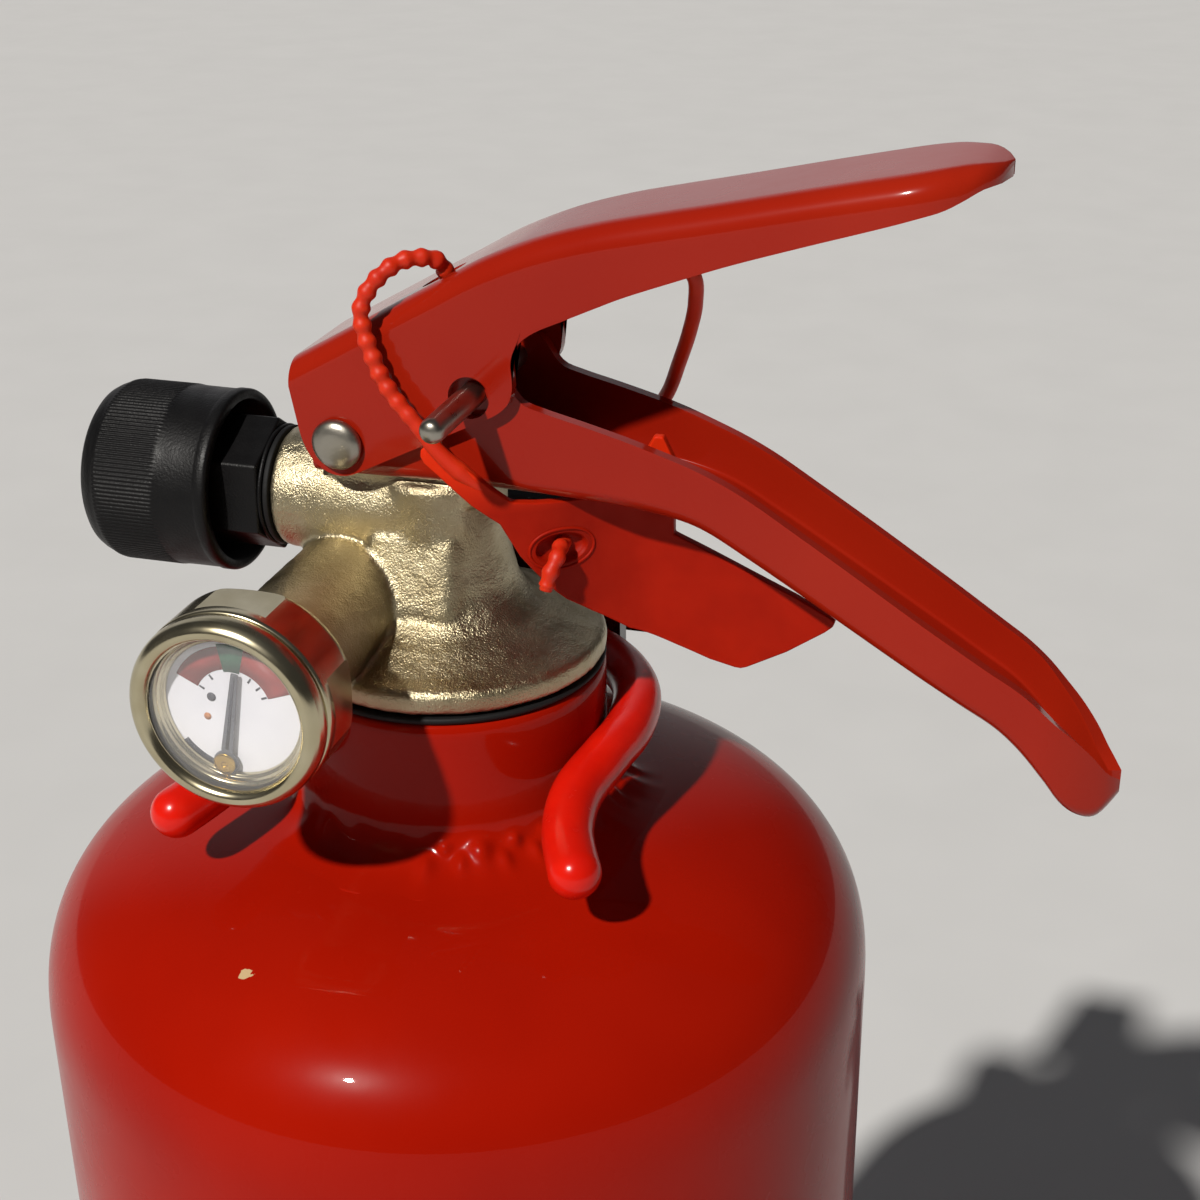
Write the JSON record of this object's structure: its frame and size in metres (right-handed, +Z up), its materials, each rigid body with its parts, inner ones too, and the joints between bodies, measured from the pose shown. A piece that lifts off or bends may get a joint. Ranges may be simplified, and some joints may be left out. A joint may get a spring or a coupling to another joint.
{
  "type": "fire extinguisher",
  "caption": "Portable dry-powder fire extinguisher with squeeze levers, side nozzle, pressure gauge, pull pin with tamper seal, base boot and a wall-mounted neck clip.",
  "frame": {"origin": "middle of the base boot's flat underside, on the floor", "axes": "+Z up along the cylinder's axis, +X towards the lever tips with the nozzle on -X, -Y towards the pressure gauge, +Y towards the wall"},
  "size_m": [0.142, 0.1193, 0.3584],
  "materials": {
    "red_enamel": "gloss",
    "lever_enamel": "gloss",
    "red_coating": "satin",
    "black_plastic": "satin",
    "white_plastic": "satin",
    "powder": "matte",
    "black_rubber": "matte",
    "nickel_brass": "satin",
    "polished_nickel": "polished",
    "stem_brass": "satin",
    "steel": "satin",
    "needle_metal": "matte",
    "dial_white": "satin",
    "clear_plastic": "gloss",
    "seal_plastic": "satin",
    "black_paint": "gloss"
  },
  "bodies": {
    "vessel": {"cylinder_shell": "red_enamel", "neck_collar": "red_enamel", "base_boot": "black_plastic", "powder_charge": "powder", "dip_tube": "white_plastic", "dip_tube_adapter": "black_plastic", "valve_body": "nickel_brass", "neck_seal": "black_rubber", "valve_spring": "steel", "nozzle_body": "black_plastic", "nozzle_washer": "black_rubber", "nozzle_sleeve": "black_plastic", "gauge_case": "nickel_brass", "gauge_bezel": "polished_nickel", "gauge_lens": "clear_plastic", "gauge_seal": "black_rubber", "gauge_dial": "dial_white", "gauge_bourdon_tube": "stem_brass", "lower_handle": "lever_enamel", "pivot_rivet": "steel", "seal_tag": "seal_plastic", "seal_strap": "seal_plastic"},
    "lever": {"upper_lever": "lever_enamel"},
    "stem": {"valve_stem": "stem_brass", "valve_disc": "black_rubber", "stem_o_ring": "black_rubber"},
    "needle": {"gauge_needle": "needle_metal", "gauge_pivot": "stem_brass"},
    "pin": {"safety_pin": "steel"},
    "ring": {"pull_ring": "steel"},
    "wall_clip": {"neck_clip": "red_coating", "wall_base": "black_paint", "wall_screw_upper": "steel", "wall_screw_lower": "steel"}
  },
  "joints": [
    {"name": "lever_squeeze", "type": "hinge", "parent": "vessel", "child": "lever", "pos_m": [-0.0089, 0, 0.3222], "axis": [0, 1, 0], "range_deg": [0, 12], "stiffness_Nm_per_rad": 0.5, "springref_deg": -17.19, "deforming": ["seal_strap"]},
    {"name": "stem_travel", "type": "slide", "parent": "vessel", "child": "stem", "axis": [0, 0, -1], "range_m": [0, 0.0027], "deforming": ["valve_spring"]},
    {"name": "needle_turn", "type": "hinge", "parent": "vessel", "child": "needle", "pos_m": [-0.01206, -0.0386, 0.29402], "axis": [0, 1, 0], "range_deg": [-42, 33], "stiffness_Nm_per_rad": 0.002},
    {"name": "pin_pull", "type": "slide", "parent": "lever", "child": "pin", "axis": [0, 1, 0], "range_m": [0, 0.0345], "deforming": ["seal_strap"]},
    {"name": "ring_swing", "type": "hinge", "parent": "pin", "child": "ring", "pos_m": [0.0077, 0.0147, 0.3293], "axis": [0.6428, 0, -0.766], "range_deg": [-3, 90], "deforming": ["seal_strap"]},
    {"name": "clip_release", "type": "slide", "parent": "vessel", "child": "wall_clip", "axis": [0, 1, 0], "range_m": [0, 0.08], "deforming": ["neck_clip"]}
  ],
  "couplings": [
    {"joint": "stem_travel", "follows": "lever_squeeze", "m_per_rad": 0.01265}
  ]
}
